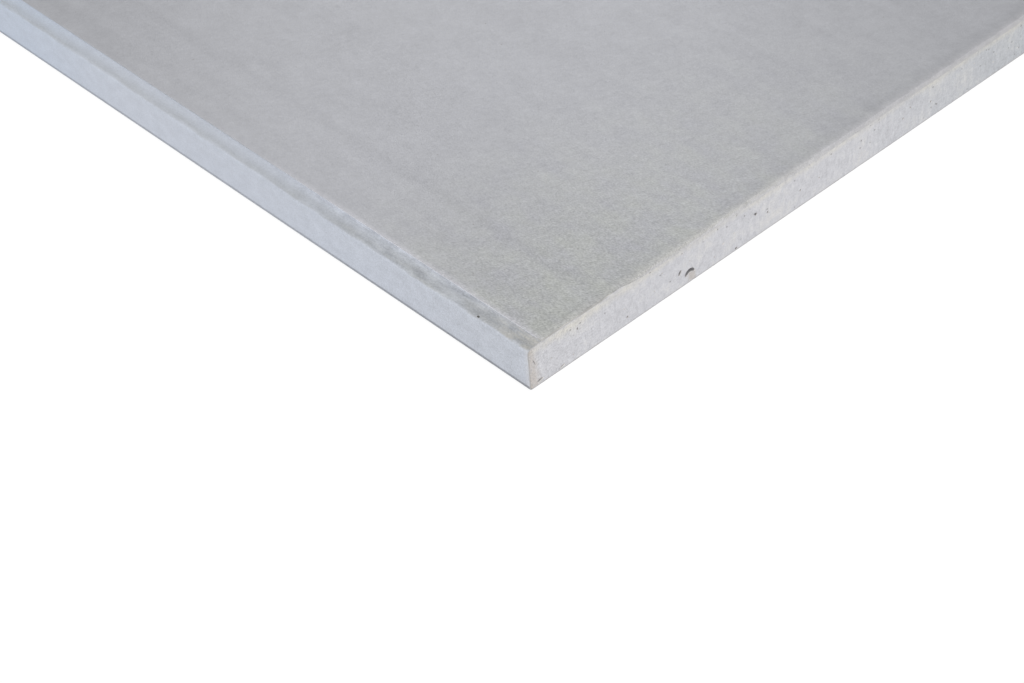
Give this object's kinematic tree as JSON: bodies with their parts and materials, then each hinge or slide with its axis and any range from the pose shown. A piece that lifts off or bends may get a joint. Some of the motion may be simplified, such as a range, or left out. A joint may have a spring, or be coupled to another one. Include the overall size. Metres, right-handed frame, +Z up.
{
  "type": "gypsum board sheet",
  "caption": "Rectangular sheet of paper-faced gypsum drywall with wrapped square long edges and plain cut ends, lying on its face with its grey back up.",
  "frame": {"origin": "middle of the face, on the floor under the sheet", "axes": "+X across the sheet, towards a paper-wrapped long edge; +Y along the sheet, towards a cut end; +Z up, out of the back"},
  "size_m": [1.2, 2.4, 0.0125],
  "materials": {
    "gypsum": "matte",
    "face_liner": "matte",
    "back_liner": "matte"
  },
  "bodies": {
    "root": {"gypsum_core": "gypsum", "face_paper": "face_liner", "back_paper": "back_liner"}
  },
  "joints": []
}
